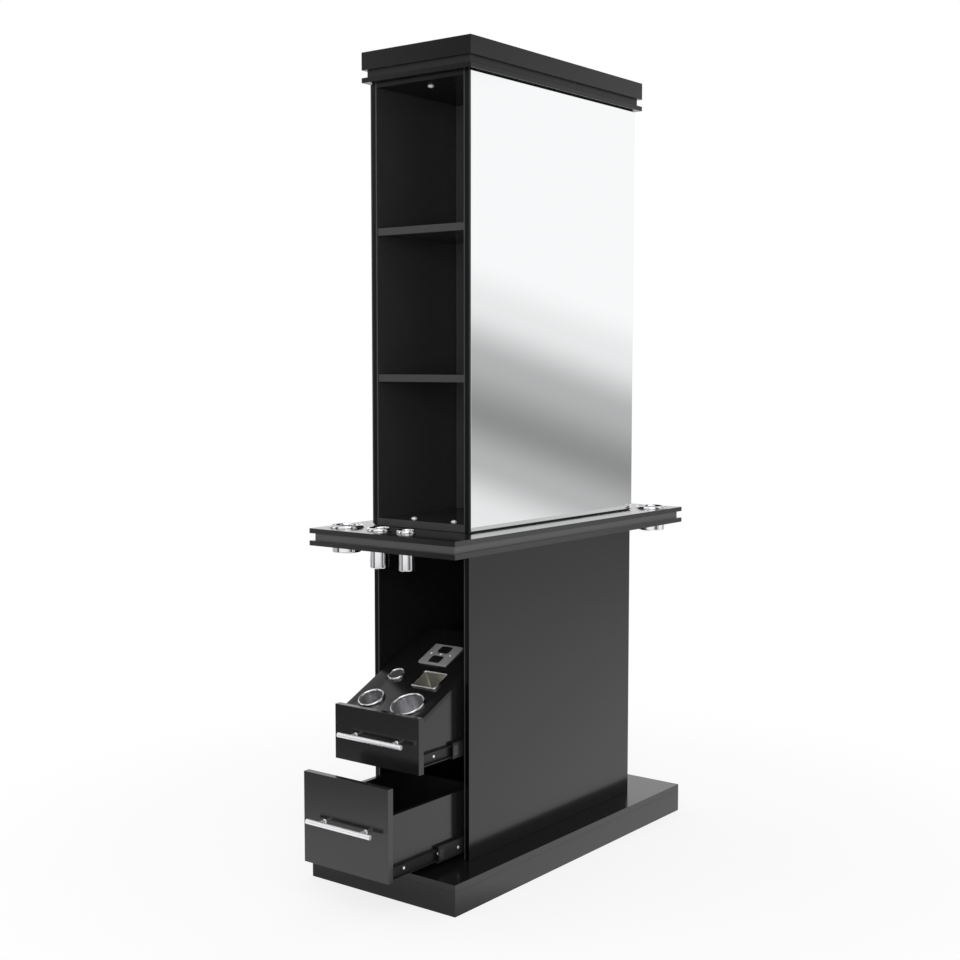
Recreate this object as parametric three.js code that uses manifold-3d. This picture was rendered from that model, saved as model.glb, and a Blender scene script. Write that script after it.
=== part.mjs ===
// Double sided salon station: a tall shelf cabinet with a mirror on each long side, standing on
// a cabinet with two drawers at each end. Millimetres, +Z up, origin on the floor at the centre.
// The front end faces -Y. The back end is the same end turned half a turn about Z.
import * as THREE from 'three';
import { mergeVertices } from 'three/addons/utils/BufferGeometryUtils.js';
import Module from 'manifold-3d';

// Clearances
const seatGap = 0.3; // between pieces that rest on, or are fastened to, each other
const holeGap = 0.5; // round a piece that drops into a hole
const runningGap = 0.3; // between the members of a drawer slide
const joinDepth = 0.5; // how far joined shapes run into each other

// Base
const baseWidth = 450;
const baseLength = 1020;
const plinthHeight = 57;
const plinthRail = 18;
const middleRail = 60;
const deckThickness = 18;

// Lower cabinet
const cavityWidth = 268;
const cabinetLength = 720;
const panelThickness = 15;
const dividerThickness = 16;
const lowerHeight = 750;

// Worktop and crown, both with a groove round their edge
const worktopWidth = 452;
const worktopLength = 1020;
const lipThickness = 12;
const grooveHeight = 18;
const grooveDepth = 10;
const crownSideOverhang = 18.5;
const crownEndOverhang = 16;
const crownBand = 43;

// Upper cabinet
const upperHeight = 1076;
const bottomBoard = 18;
const topBoard = 12;
const coreDepth = 102; // from the back of one end's bays to the back of the other's
const coreBoard = 12;
const shelfThickness = 18;
const shelvesPerEnd = 2;
const shelfSetback = 2;
const mirrorThickness = 5;
const mirrorEndMargin = 1;
const mirrorReveal = 3;

// Drawer fascias and their handles
const fasciaThickness = 18;
const fasciaSideGap = 3;
const fasciaSpacing = 7.5;
const deckClearance = 17;
const deepFasciaHeight = 218;
const toolFasciaHeight = 133;
const handleLength = 198;
const handleCentres = 128;
const handleBar = 12;
const handlePost = 9;
const handleReach = 25;

// Drawer boxes
const drawerBoard = 12;
const drawerFloor = 6;
const floorRebate = 5;
const floorLift = 10;
const deepBoxLift = 4;
const deepBoxHeight = 147;
const toolBoxLift = 12.5;
const boxRearGap = 12;
const deepOpening = 274; // how far the front drawers stand open at rest
const toolOpening = 165;

// Ball bearing slides, each of three nested channels
const slideLength = 300;
const middleSlideLength = 256;
const slideWidth = 12.7;
const slideHeight = 45;
const slideMetal = 1.5;
const innerChannel = 28;
const slideSetback = 2;
const deepSlideLift = 19.5;
const toolSlideLift = 31.5;

// Sloped panel of the tool drawer
const panelSlope = THREE.MathUtils.degToRad(25);
const toolPanelThickness = 9;
const toolPanelDrop = 9;
const frontMargin = 1;
const rowGap = 25.5;
const outletGap = 27;
const leftMargin = 21.5;
const rightMargin = 29;
const smallCupShift = 2;
const binShift = -7;
const outletShift = 3.5;

// Metal cups: the flange and the bore are diameters
const cupWall = 1.5;
const rimHeight = 6;
const cupSegments = 20;
const rimSteps = 4;
const dryerCup = { flange: 87, bore: 75, depth: 80 };
const ironCup = { flange: 68.5, bore: 56.5, depth: 80 };
const smallCup = { flange: 46, bore: 35.5, depth: 90 };

// Clip bin, a little wider than it is long up the slope
const binWidth = 68;
const binLength = 55;
const binFlange = 4;
const binDepth = 55;
const binCorner = 3;
const binRim = 4;

// Power outlet
const plateWidth = 87;
const plateHeight = 80;
const plateThickness = 4;
const plateCorner = 4;
const faceWidth = 34;
const faceHeight = 26;
const faceCorner = 5;
const facePitch = 40;
const faceProud = 0.6;
const outletBodyWidth = 46;
const outletBodyHeight = 72;
const outletBodyDepth = 38;

// Tool holders let into the worktop, from the corner inwards
const holderEdge = 54;
const holderPitch = [107, 85];
const holders = [
  { name: 'dryer_holder', flange: 85, bore: 69, depth: 61 },
  { name: 'iron_holder', flange: 64, bore: 43, depth: 92 },
  { name: 'brush_holder', flange: 48, bore: 34, depth: 92 },
];

// Places that follow from the sizes above
const deckTop = plinthHeight + deckThickness;
const worktopBottom = deckTop + lowerHeight;
const worktopTop = worktopBottom + 2 * lipThickness + grooveHeight;
const crownBottom = worktopTop + upperHeight;
const cabinetWidth = cavityWidth + 2 * panelThickness;
const panelX = (cavityWidth + panelThickness) / 2;
const endY = -cabinetLength / 2;
const fasciaBack = endY + fasciaThickness + seatGap;
const boxRear = -dividerThickness / 2 - boxRearGap;
const boxDepth = boxRear - fasciaBack;
const boxWidth = cavityWidth - 2 * slideWidth;
const boxInside = boxWidth - 2 * drawerBoard;
const deepFasciaBottom = deckTop + deckClearance;
const toolFasciaBottom = deepFasciaBottom + deepFasciaHeight + fasciaSpacing;
const deepSlideZ = deepFasciaBottom + deepSlideLift;
const toolSlideZ = toolFasciaBottom + toolSlideLift;
const slideMiddle = endY + fasciaThickness + slideSetback + slideLength / 2;

const finishes = {
  laminate: { color: 0x1c1c1e, roughness: 0.32, metalness: 0 },
  mirror: { color: 0xf2f4f5, roughness: 0.02, metalness: 1 },
  chrome: { color: 0xdcdee0, roughness: 0.08, metalness: 1 },
  steel: { color: 0xc4c4c2, roughness: 0.28, metalness: 1 },
  slide: { color: 0x2a2b2d, roughness: 0.4, metalness: 0.8 },
  plate: { color: 0x7d7d7b, roughness: 0.38, metalness: 0.9 },
  plastic: { color: 0x101011, roughness: 0.45, metalness: 0 },
};

const wasm = await Module();
wasm.setup();

// Merge shared corners and drop the empty triangles at the ends of a turned profile.
function closed(geometry) {
  geometry.deleteAttribute('normal');
  geometry.deleteAttribute('uv');
  const merged = mergeVertices(geometry, 1e-4);
  const corners = merged.index.array;
  const kept = [];
  for (let i = 0; i < corners.length; i += 3) {
    const [a, b, c] = corners.slice(i, i + 3);
    if (a !== b && b !== c && c !== a) {
      kept.push(a, b, c);
    }
  }
  merged.setIndex(kept);
  return merged;
}

function toSolid(geometry) {
  const shell = closed(geometry);
  const vertProperties = Float32Array.from(shell.attributes.position.array);
  const triVerts = Uint32Array.from(shell.index.array);
  return new wasm.Manifold(new wasm.Mesh({ numProp: 3, vertProperties, triVerts }));
}

function toGeometry(solid) {
  const { vertProperties, triVerts } = solid.getMesh();
  const geometry = new THREE.BufferGeometry();
  geometry.setAttribute('position', new THREE.Float32BufferAttribute(vertProperties, 3));
  geometry.setIndex([...triVerts]);
  geometry.computeVertexNormals();
  return geometry;
}

const join = (geometries) => toGeometry(
  geometries.map(toSolid).reduce((whole, piece) => whole.add(piece)),
);

const cut = (geometry, tools) => toGeometry(
  tools.map(toSolid).reduce((whole, tool) => whole.subtract(tool), toSolid(geometry)),
);

function addMesh(group, name, geometry, finish, position = [0, 0, 0]) {
  const mesh = new THREE.Mesh(geometry, new THREE.MeshStandardMaterial(finishes[finish]));
  mesh.name = name;
  mesh.position.set(...position);
  group.add(mesh);
  return mesh;
}

// A box given by its lower and upper limits on X, Y and Z.
function block([x0, x1], [y0, y1], [z0, z1]) {
  const box = new THREE.BoxGeometry(x1 - x0, y1 - y0, z1 - z0);
  return box.translate((x0 + x1) / 2, (y0 + y1) / 2, (z0 + z1) / 2);
}

const centred = (size) => [-size / 2, size / 2];

// A prism along X over an outline of [y, z] points.
function prismAlongX(outline, width) {
  const shape = new THREE.Shape(outline.map(([y, z]) => new THREE.Vector2(y, z)));
  const prism = new THREE.ExtrudeGeometry(shape, { depth: width, bevelEnabled: false });
  prism.translate(0, 0, -width / 2);
  prism.rotateZ(Math.PI / 2);
  return prism.rotateY(Math.PI / 2);
}

function roundedRectangle(width, height, radius) {
  const x = width / 2 - radius;
  const y = height / 2 - radius;
  const shape = new THREE.Shape();
  shape.absarc(x, y, radius, 0, Math.PI / 2);
  shape.absarc(-x, y, radius, Math.PI / 2, Math.PI);
  shape.absarc(-x, -y, radius, Math.PI, 1.5 * Math.PI);
  shape.absarc(x, -y, radius, 1.5 * Math.PI, 2 * Math.PI);
  return shape;
}

// A plate with rounded corners, standing from low to high on Z.
function roundedPlate(width, height, radius, [low, high]) {
  const shape = roundedRectangle(width, height, radius);
  const plate = new THREE.ExtrudeGeometry(shape, {
    depth: high - low,
    bevelEnabled: false,
    curveSegments: 4,
  });
  return plate.translate(0, 0, low);
}

function upright(radius, [low, high], segments = cupSegments) {
  const cylinder = new THREE.CylinderGeometry(radius, radius, high - low, segments);
  cylinder.rotateX(Math.PI / 2);
  return cylinder.translate(0, 0, (low + high) / 2);
}

// A round cup hanging by its rolled rim from a surface at Z = 0.
function cupGeometry({ flange, bore, depth }) {
  const outer = bore / 2 + cupWall;
  const rimMiddle = (flange + bore) / 4;
  const rimHalf = (flange - bore) / 4;
  const profile = [[0, -depth], [outer, -depth], [outer, seatGap]];
  for (let step = 0; step <= rimSteps; step += 1) {
    const turn = Math.PI * step / rimSteps;
    profile.push([rimMiddle + rimHalf * Math.cos(turn), seatGap + rimHeight * Math.sin(turn)]);
  }
  profile.push([bore / 2, cupWall - depth], [0, cupWall - depth]);
  const points = profile.map(([r, z]) => new THREE.Vector2(r, z));
  const cup = new THREE.LatheGeometry(points, cupSegments);
  return closed(cup.rotateX(Math.PI / 2));
}

// The hole that such a cup drops into, through a board from low to high.
const cupHole = ({ bore }, limits) => upright(bore / 2 + cupWall + holeGap, limits);

// Three stacked boards, the middle one smaller all round, as one grooved slab.
function groovedSlab(width, length, bottom, topThickness) {
  const grooveBottom = bottom + lipThickness;
  const grooveTop = grooveBottom + grooveHeight;
  const core = [width - 2 * grooveDepth, length - 2 * grooveDepth].map(centred);
  const whole = [width, length].map(centred);
  return join([
    block(...whole, [bottom, grooveBottom]),
    block(...core, [grooveBottom - joinDepth, grooveTop + joinDepth]),
    block(...whole, [grooveTop, grooveTop + topThickness]),
  ]);
}

// The web and two flanges of a channel that runs along Y. The web stands at webX.
function channel(webX, flangeX, middleY, middleZ, height, flangeThickness, length = slideLength) {
  const alongY = [middleY - length / 2, middleY + length / 2];
  const half = height / 2;
  return [
    block(webX, alongY, [middleZ - half, middleZ + half]),
    block(flangeX, alongY, [middleZ - half, middleZ - half + flangeThickness]),
    block(flangeX, alongY, [middleZ + half - flangeThickness, middleZ + half]),
  ];
}

function buildBase(group) {
  const halfWidth = baseWidth / 2;
  const bay = [middleRail / 2, baseLength / 2 - plinthRail];
  const inside = [plinthRail - halfWidth, halfWidth - plinthRail];
  const through = [-joinDepth, plinthHeight + joinDepth];
  const plinth = cut(block(centred(baseWidth), centred(baseLength), [0, plinthHeight]), [
    block(inside, bay, through),
    block(inside, [-bay[1], -bay[0]], through),
  ]);
  addMesh(group, 'plinth', plinth, 'laminate');
  const deck = block(centred(baseWidth), centred(baseLength), [plinthHeight + seatGap, deckTop]);
  addMesh(group, 'base_deck', deck, 'laminate');
}

// One side panel of the lower cabinet, with the outer channels of its four slides.
function lowerPanelGeometry() {
  const inner = cavityWidth / 2;
  const webX = [inner - slideMetal, inner + joinDepth];
  const flangeX = [boxWidth / 2 + slideMetal + runningGap, inner + joinDepth];
  const places = [slideMiddle, -slideMiddle].flatMap(
    (middleY) => [deepSlideZ, toolSlideZ].map((middleZ) => [middleY, middleZ]),
  );
  const channels = places.flatMap(
    ([middleY, middleZ]) => channel(webX, flangeX, middleY, middleZ, slideHeight, slideMetal),
  );
  const panelRange = [inner, inner + panelThickness];
  const heightRange = [deckTop + seatGap, worktopBottom - seatGap];
  return join([block(panelRange, centred(cabinetLength), heightRange), ...channels]);
}

function buildLowerCabinet(group) {
  addMesh(group, 'lower_panel_right', lowerPanelGeometry(), 'laminate');
  addMesh(group, 'lower_panel_left', lowerPanelGeometry(), 'laminate').rotation.z = Math.PI;
  const dividerWidth = cavityWidth - 2 * seatGap;
  const divider = block(
    centred(dividerWidth),
    centred(dividerThickness),
    [deckTop + seatGap, worktopBottom - seatGap],
  );
  addMesh(group, 'lower_divider', divider, 'laminate');
}

// Where the front end's worktop holders stand, as [x, y].
function holderPlaces() {
  const y = -(cabinetLength + worktopLength) / 4;
  const places = [[holderEdge - worktopWidth / 2, y]];
  for (const pitch of holderPitch) {
    places.push([places.at(-1)[0] + pitch, y]);
  }
  return places;
}

function buildWorktop(group) {
  const through = [worktopBottom - 1, worktopTop + 1];
  const holes = holderPlaces().flatMap(([x, y], i) => [
    cupHole(holders[i], through).translate(x, y, 0),
    cupHole(holders[i], through).translate(-x, -y, 0),
  ]);
  const slab = groovedSlab(worktopWidth, worktopLength, worktopBottom, lipThickness);
  addMesh(group, 'worktop', cut(slab, holes), 'laminate');
}

function buildUpperCabinet(group) {
  const low = worktopTop + seatGap;
  const high = crownBottom - seatGap;
  const panelSize = [panelThickness, cabinetLength, high - low];
  const mirrorSize = [
    mirrorThickness,
    cabinetLength - 2 * mirrorEndMargin,
    upperHeight - 2 * mirrorReveal,
  ];
  const middle = (low + high) / 2;
  const mirrorX = cabinetWidth / 2 + seatGap + mirrorThickness / 2;
  for (const [side, sign] of [['right', 1], ['left', -1]]) {
    const panel = new THREE.BoxGeometry(...panelSize);
    addMesh(group, `upper_panel_${side}`, panel, 'laminate', [sign * panelX, 0, middle]);
    const mirror = new THREE.BoxGeometry(...mirrorSize);
    addMesh(group, `mirror_${side}`, mirror, 'mirror', [sign * mirrorX, 0, middle]);
  }

  const alongX = centred(cavityWidth - 2 * seatGap);
  const floorTop = low + bottomBoard;
  const ceiling = high - topBoard;
  const boards = [
    ['upper_bottom_board', [low, floorTop]],
    ['upper_top_board', [ceiling, high]],
  ];
  for (const [name, heightRange] of boards) {
    addMesh(group, name, block(alongX, centred(cabinetLength), heightRange), 'laminate');
  }

  // The core between the two ends is a box of boards, open towards the side panels.
  const coreRange = [floorTop + seatGap, ceiling - seatGap];
  const hollow = block(
    centred(cavityWidth),
    centred(coreDepth - 2 * coreBoard),
    [coreRange[0] + coreBoard, coreRange[1] - coreBoard],
  );
  const core = cut(block(alongX, centred(coreDepth), coreRange), [hollow]);
  addMesh(group, 'upper_divider', core, 'laminate');

  // The shelves part the height between the boards into equal bays.
  const bay = (ceiling - floorTop - shelvesPerEnd * shelfThickness) / (shelvesPerEnd + 1);
  const shelfLength = cabinetLength / 2 - shelfSetback - coreDepth / 2 - seatGap;
  const shelfY = endY + shelfSetback + shelfLength / 2;
  for (const [end, sign] of [['front', 1], ['back', -1]]) {
    for (let i = 1; i <= shelvesPerEnd; i += 1) {
      const shelf = new THREE.BoxGeometry(cavityWidth - 2 * seatGap, shelfLength, shelfThickness);
      const z = floorTop + i * bay + (i - 0.5) * shelfThickness;
      addMesh(group, `${end}_shelf_${i}`, shelf, 'laminate', [0, sign * shelfY, z]);
    }
  }
}

function buildCrown(group) {
  const width = cabinetWidth + 2 * crownSideOverhang;
  const length = cabinetLength + 2 * crownEndOverhang;
  addMesh(group, 'crown', groovedSlab(width, length, crownBottom, crownBand), 'laminate');
}

// A straight bar on two posts, in front of a fascia whose face is at Y = 0.
function handleGeometry() {
  const bar = new THREE.CylinderGeometry(handleBar / 2, handleBar / 2, handleLength, 16);
  bar.rotateZ(Math.PI / 2);
  bar.translate(0, -handleReach, 0);
  const posts = [-1, 1].map((side) => {
    const length = handleReach - seatGap;
    const post = new THREE.CylinderGeometry(handlePost / 2, handlePost / 2, length, 12);
    return post.translate(side * handleCentres / 2, -seatGap - length / 2, 0);
  });
  return join([bar, ...posts]);
}

function addFascia(drawer, name, bottom, height) {
  const fascia = block(
    centred(cavityWidth - 2 * fasciaSideGap),
    [endY, endY + fasciaThickness],
    [bottom, bottom + height],
  );
  addMesh(drawer, `${name}_fascia`, fascia, 'laminate');
  addMesh(drawer, `${name}_handle`, handleGeometry(), 'steel', [0, endY, bottom + height / 2]);
}

// The inner channels of a drawer's two slides, which are fastened to its sides.
function innerChannels(middleZ) {
  const side = boxWidth / 2;
  const webX = [side - joinDepth, side + slideMetal];
  const flangeX = [side - joinDepth, cavityWidth / 2 - 2 * (slideMetal + runningGap)];
  const mirrored = ([low, high]) => [-high, -low];
  const size = [slideMiddle, middleZ, innerChannel, slideMetal];
  return [...channel(webX, flangeX, ...size), ...channel(mirrored(webX), mirrored(flangeX), ...size)];
}

// The middle channel of one slide, with its ball cages, centred on the slide's own axis.
function middleChannelGeometry() {
  const webOuter = cavityWidth / 2 - slideMetal - runningGap;
  const flangeX = [boxWidth / 2 + slideMetal + runningGap, webOuter];
  const height = slideHeight - 2 * (slideMetal + runningGap);
  const cage = height / 2 - innerChannel / 2 - runningGap;
  const webX = [webOuter - slideMetal, webOuter];
  return join(channel(webX, flangeX, 0, 0, height, cage, middleSlideLength));
}

// Both middle channels of a drawer, which travel half as far as the drawer.
function buildSlides(group, name, middleZ, opening) {
  const pair = new THREE.Group();
  pair.position.set(0, slideMiddle - opening / 2, middleZ);
  addMesh(pair, `${name}_slide_right`, middleChannelGeometry(), 'slide');
  addMesh(pair, `${name}_slide_left`, middleChannelGeometry(), 'slide').rotation.z = Math.PI;
  group.add(pair);
}

function buildDeepDrawer(group, end) {
  const name = `${end}_deep_drawer`;
  const opening = end === 'front' ? deepOpening : 0;
  const drawer = new THREE.Group();
  drawer.position.y = -opening;
  group.add(drawer);
  addFascia(drawer, name, deepFasciaBottom, deepFasciaHeight);

  const low = deepFasciaBottom + deepBoxLift;
  const high = low + deepBoxHeight;
  const floorLow = low + floorLift;
  const frontEdge = fasciaBack - joinDepth;
  const inside = block(
    centred(boxInside),
    [frontEdge, boxRear - drawerBoard],
    [low - joinDepth, high + joinDepth],
  );
  const rebate = block(
    centred(boxInside + 2 * floorRebate),
    [frontEdge, boxRear - drawerBoard + floorRebate],
    [floorLow - seatGap, floorLow + drawerFloor + seatGap],
  );
  const walls = cut(block(centred(boxWidth), [fasciaBack, boxRear], [low, high]), [inside, rebate]);
  addMesh(drawer, `${name}_box`, join([walls, ...innerChannels(deepSlideZ)]), 'laminate');

  const floor = block(
    centred(boxInside + 2 * (floorRebate - seatGap)),
    [fasciaBack, boxRear - drawerBoard + floorRebate - seatGap],
    [floorLow, floorLow + drawerFloor],
  );
  addMesh(drawer, `${name}_floor`, floor, 'laminate');
  buildSlides(group, name, deepSlideZ, opening);
}

// Cheeks, back and floor of the tool drawer, cut to the slope of its panel.
function toolBoxGeometry(panelFrontZ) {
  const low = toolFasciaBottom + toolBoxLift;
  const cheekFront = panelFrontZ - (toolPanelThickness + seatGap) / Math.cos(panelSlope);
  const cheekRear = cheekFront + boxDepth * Math.tan(panelSlope);
  const outline = [[fasciaBack, low], [boxRear, low], [boxRear, cheekRear], [fasciaBack, cheekFront]];
  const inside = block(
    centred(boxInside),
    [fasciaBack - joinDepth, boxRear - drawerBoard],
    [low + drawerFloor, cheekRear + joinDepth],
  );
  const walls = cut(prismAlongX(outline, boxWidth), [inside]);
  return join([walls, ...innerChannels(toolSlideZ)]);
}

function binGeometry() {
  const grown = (margin, limits) => roundedPlate(
    binWidth + 2 * margin,
    binLength + 2 * margin,
    binCorner + margin,
    limits,
  );
  const outside = join([
    grown(cupWall, [-binDepth, seatGap + joinDepth]),
    grown(binFlange, [seatGap, seatGap + binRim]),
  ]);
  return cut(outside, [grown(0, [cupWall - binDepth, binRim + 1])]);
}

// The two places of the outlet's faces along the slope, either side of its middle.
const facePlaces = [-facePitch / 2, facePitch / 2];

function outletPlateGeometry() {
  const plateRange = [seatGap, seatGap + plateThickness];
  const plate = roundedPlate(plateWidth, plateHeight, plateCorner, plateRange);
  const windows = facePlaces.map((u) => roundedPlate(
    faceWidth + 2 * holeGap,
    faceHeight + 2 * holeGap,
    faceCorner + holeGap,
    [0, plateThickness + 1],
  ).translate(0, u, 0));
  return cut(plate, windows);
}

function receptacleGeometry() {
  const body = block(centred(outletBodyWidth), centred(outletBodyHeight), [-outletBodyDepth, 0]);
  const faceTop = seatGap + plateThickness + faceProud;
  const faces = facePlaces.map(
    (u) => roundedPlate(faceWidth, faceHeight, faceCorner, [-joinDepth, faceTop]).translate(0, u, 0),
  );
  return join([body, ...faces]);
}

// The places of what stands in the sloped panel, as [x, distance up the slope].
function toolPlaces() {
  const half = boxWidth / 2;
  const leftX = leftMargin - half + ironCup.flange / 2;
  const rightX = half - rightMargin - dryerCup.flange / 2;
  const firstRow = frontMargin + dryerCup.flange / 2;
  const binReach = binLength / 2 + binFlange;
  const secondRow = firstRow + dryerCup.flange / 2 + rowGap + binReach;
  const outletRow = secondRow + binReach + outletGap + plateHeight / 2;
  return {
    dryer: [rightX, firstRow],
    iron: [leftX, firstRow],
    small: [leftX + smallCupShift, secondRow],
    bin: [rightX + binShift, secondRow],
    outlet: [outletShift, outletRow],
  };
}

function buildToolDrawer(group, end) {
  const name = `${end}_tool_drawer`;
  const opening = end === 'front' ? toolOpening : 0;
  const drawer = new THREE.Group();
  drawer.position.y = -opening;
  group.add(drawer);
  addFascia(drawer, name, toolFasciaBottom, toolFasciaHeight);
  const panelFrontZ = toolFasciaBottom + toolFasciaHeight - toolPanelDrop;
  addMesh(drawer, `${name}_box`, toolBoxGeometry(panelFrontZ), 'laminate');

  // In this group X runs across the panel, Y up its slope and Z square to it.
  const sloped = new THREE.Group();
  sloped.position.set(0, fasciaBack, panelFrontZ);
  sloped.rotation.x = panelSlope;
  drawer.add(sloped);

  const through = [-toolPanelThickness - 1, 1];
  const places = toolPlaces();
  const cups = [['dryer', dryerCup], ['iron', ironCup], ['small', smallCup]];
  const binMargin = cupWall + holeGap;
  const holes = cups.map(([key, cup]) => cupHole(cup, through).translate(...places[key], 0));
  holes.push(
    roundedPlate(
      binWidth + 2 * binMargin,
      binLength + 2 * binMargin,
      binCorner + binMargin,
      through,
    ).translate(...places.bin, 0),
    block(
      centred(outletBodyWidth + 2 * holeGap),
      centred(outletBodyHeight + 2 * holeGap),
      through,
    ).translate(...places.outlet, 0),
  );
  const panelLength = (boxDepth - toolPanelThickness * Math.sin(panelSlope)) / Math.cos(panelSlope);
  const board = block(centred(boxWidth), [0, panelLength], [-toolPanelThickness, 0]);
  addMesh(sloped, `${end}_tool_panel`, cut(board, holes), 'laminate');

  for (const [key, cup] of cups) {
    addMesh(sloped, `${end}_${key}_cup`, cupGeometry(cup), 'chrome', [...places[key], 0]);
  }
  addMesh(sloped, `${end}_clip_bin`, binGeometry(), 'chrome', [...places.bin, 0]);
  const outletAt = [...places.outlet, 0];
  addMesh(sloped, `${end}_outlet_plate`, outletPlateGeometry(), 'plate', outletAt);
  addMesh(sloped, `${end}_outlet_receptacle`, receptacleGeometry(), 'plastic', outletAt);
  buildSlides(group, name, toolSlideZ, opening);
}

function buildEnd(group, end) {
  buildDeepDrawer(group, end);
  buildToolDrawer(group, end);
  holderPlaces().forEach((place, i) => {
    const at = [...place, worktopTop];
    addMesh(group, `${end}_${holders[i].name}`, cupGeometry(holders[i]), 'chrome', at);
  });
}

const station = new THREE.Group();
buildBase(station);
buildLowerCabinet(station);
buildWorktop(station);
buildUpperCabinet(station);
buildCrown(station);

const frontEnd = new THREE.Group();
buildEnd(frontEnd, 'front');
const backEnd = new THREE.Group();
backEnd.rotation.z = Math.PI;
buildEnd(backEnd, 'back');
station.add(frontEnd, backEnd);

export default station;
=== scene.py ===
import math

import bmesh
import bpy
import numpy as np
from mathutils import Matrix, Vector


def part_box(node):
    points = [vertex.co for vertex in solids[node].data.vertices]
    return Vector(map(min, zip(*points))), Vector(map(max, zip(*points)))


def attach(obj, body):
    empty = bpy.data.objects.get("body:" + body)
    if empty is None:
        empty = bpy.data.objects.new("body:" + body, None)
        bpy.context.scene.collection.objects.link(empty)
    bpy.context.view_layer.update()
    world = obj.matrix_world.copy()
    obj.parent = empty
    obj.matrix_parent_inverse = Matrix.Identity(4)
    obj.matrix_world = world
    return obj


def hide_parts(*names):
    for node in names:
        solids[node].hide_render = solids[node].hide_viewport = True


# Looks of a double sided salon station: black laminate boards, two mirrors, chrome cups, steel bars.
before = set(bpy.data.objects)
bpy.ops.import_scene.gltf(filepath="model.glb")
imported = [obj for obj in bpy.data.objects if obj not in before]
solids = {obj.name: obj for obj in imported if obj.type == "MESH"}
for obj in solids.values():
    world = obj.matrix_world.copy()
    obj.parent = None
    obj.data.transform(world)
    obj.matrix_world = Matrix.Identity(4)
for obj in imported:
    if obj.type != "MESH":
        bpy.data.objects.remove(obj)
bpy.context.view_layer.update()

ends = {"front": 1.0, "back": -1.0}  # the back end is the front end turned half round
drawers = ("deep", "tool")
sides = {"right": 1.0, "left": -1.0}
seatGap = 0.0003  # between pieces that touch
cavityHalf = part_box("upper_bottom_board")[1].x + seatGap  # half the clear width between the side panels
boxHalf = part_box("front_tool_panel")[1].x  # half the width of the drawer boxes

# Camera: the eye was worked out from the straight edges of the photographed station.
photoEye = {"place": (2.2473, -3.0535, 1.2649), "yaw": 37.48, "pitch": -4.55, "lens": 54.63, "sensor": 36.0}


def addCamera(eye):
    lens = bpy.data.cameras.new("photoEye")
    lens.lens = eye["lens"]
    lens.sensor_width = eye["sensor"]
    holder = bpy.data.objects.new("photoEye", lens)
    holder.location = eye["place"]
    holder.rotation_euler = (math.radians(90 + eye["pitch"]), 0, math.radians(eye["yaw"]))
    bpy.context.scene.collection.objects.link(holder)
    bpy.context.scene.camera = holder


addCamera(photoEye)
bpy.context.scene.view_settings.view_transform = "Standard"


# Node helpers
def newNode(tree, kind, at, **settings):
    node = tree.nodes.new(kind)
    node.location = at
    for key, value in settings.items():
        setattr(node, key, value)
    return node


def wire(tree, source, target):
    tree.links.new(source, target)


def feed(tree, socket, value):
    if isinstance(value, (int, float, tuple)):
        socket.default_value = value
    else:
        wire(tree, value, socket)


def mathNode(tree, operation, at, first, second=None):
    node = newNode(tree, "ShaderNodeMath", at, operation=operation)
    feed(tree, node.inputs[0], first)
    if second is not None:
        feed(tree, node.inputs[1], second)
    return node.outputs[0]


def vectorNode(tree, operation, at, first, second=None):
    node = newNode(tree, "ShaderNodeVectorMath", at, operation=operation)
    feed(tree, node.inputs[0], first)
    if second is not None:
        feed(tree, node.inputs[1], second)
    return node.outputs["Value" if operation in ("DOT_PRODUCT", "LENGTH") else "Vector"]


def rangeNode(tree, at, value, source, target=(0.0, 1.0), smooth=False):
    node = newNode(tree, "ShaderNodeMapRange", at)
    node.interpolation_type = "SMOOTHSTEP" if smooth else "LINEAR"
    wire(tree, value, node.inputs["Value"])
    for label, level in zip(("From Min", "From Max", "To Min", "To Max"), source + target):
        node.inputs[label].default_value = level
    return node.outputs["Result"]


def mixColors(tree, at, factor, first, second):
    node = newNode(tree, "ShaderNodeMix", at, data_type="RGBA")
    wire(tree, factor, node.inputs["Factor"])
    colors = [socket for socket in node.inputs if socket.type == "RGBA"]
    feed(tree, colors[0], first)
    feed(tree, colors[1], second)
    return next(socket for socket in node.outputs if socket.type == "RGBA")


def mixValues(tree, at, factor, first, second):
    node = newNode(tree, "ShaderNodeMix", at, data_type="FLOAT")
    wire(tree, factor, node.inputs["Factor"])
    feed(tree, node.inputs["A"], first)
    feed(tree, node.inputs["B"], second)
    return node.outputs["Result"]


def rampNode(tree, at, value, stops):
    # the stops are (place, level) pairs, from the lowest place to the highest
    low, high = stops[0][0], stops[-1][0]
    node = newNode(tree, "ShaderNodeValToRGB", at)
    node.color_ramp.interpolation = "EASE"
    elements = node.color_ramp.elements
    for place, _ in stops[1:-1]:
        elements.new((place - low) / (high - low))
    for element, (_, level) in zip(elements, stops):
        element.color = (level, level, level, 1.0)
    wire(tree, rangeNode(tree, (at[0] - 200, at[1]), value, (low, high)), node.inputs["Fac"])
    return node.outputs["Color"]


def gray(level):
    return (level, level, level * 1.02, 1.0)  # with a trace of blue


def newGroup(name, inputs, outputs):
    tree = bpy.data.node_groups.new(name, "ShaderNodeTree")
    for label, kind, value in inputs:
        socket = tree.interface.new_socket(label, in_out="INPUT", socket_type=kind)
        socket.default_value = value
    for label, kind in outputs:
        tree.interface.new_socket(label, in_out="OUTPUT", socket_type=kind)
    start = newNode(tree, "NodeGroupInput", (-900, 0))
    finish = newNode(tree, "NodeGroupOutput", (600, 0))
    return tree, start.outputs, finish.inputs


def useGroup(tree, group, at, **values):
    node = newNode(tree, "ShaderNodeGroup", at)
    node.node_tree = group
    for label, value in values.items():
        node.inputs[label.replace("_", " ")].default_value = value
    return node


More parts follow.
